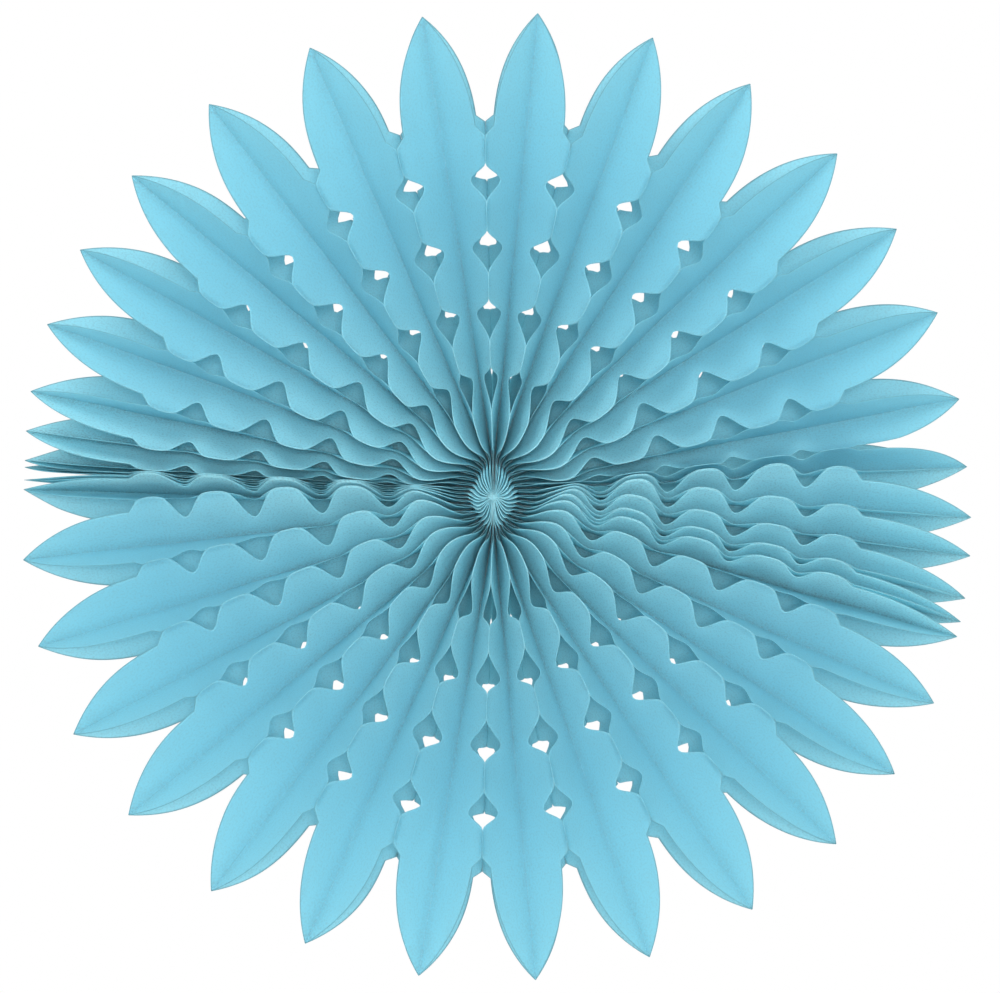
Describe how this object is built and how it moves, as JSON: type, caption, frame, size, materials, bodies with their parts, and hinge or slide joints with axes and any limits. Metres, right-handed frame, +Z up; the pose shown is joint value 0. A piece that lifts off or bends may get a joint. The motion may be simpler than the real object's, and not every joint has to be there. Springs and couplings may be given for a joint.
{
  "type": "paper fan rosette",
  "caption": "Round tissue paper fan with pointed leaves round its rim and rows of small cut holes along its folds.",
  "frame": {"origin": "middle of the glued stack of sheets where the fan is pinned or hung, at mid depth", "axes": "+X to the viewer's right, +Y from the front of the rosette to its back, +Z up"},
  "size_m": [0.4847, 0.1132, 0.4726],
  "materials": {
    "tissue": "matte"
  },
  "bodies": {
    "root": {"sheet_01": "tissue", "sheet_02": "tissue", "sheet_03": "tissue", "sheet_04": "tissue", "sheet_05": "tissue", "sheet_06": "tissue", "sheet_07": "tissue", "sheet_08": "tissue", "sheet_09": "tissue", "sheet_10": "tissue", "sheet_11": "tissue", "sheet_12": "tissue", "sheet_13": "tissue", "sheet_14": "tissue", "sheet_15": "tissue", "sheet_16": "tissue", "sheet_17": "tissue", "sheet_18": "tissue", "sheet_19": "tissue", "sheet_20": "tissue", "sheet_21": "tissue", "sheet_22": "tissue", "sheet_23": "tissue", "sheet_24": "tissue", "sheet_25": "tissue", "sheet_26": "tissue", "sheet_27": "tissue", "sheet_28": "tissue", "sheet_29": "tissue", "sheet_30": "tissue", "sheet_31": "tissue", "sheet_32": "tissue", "sheet_33": "tissue", "sheet_34": "tissue", "sheet_35": "tissue", "sheet_36": "tissue", "sheet_37": "tissue", "sheet_38": "tissue"}
  },
  "joints": []
}
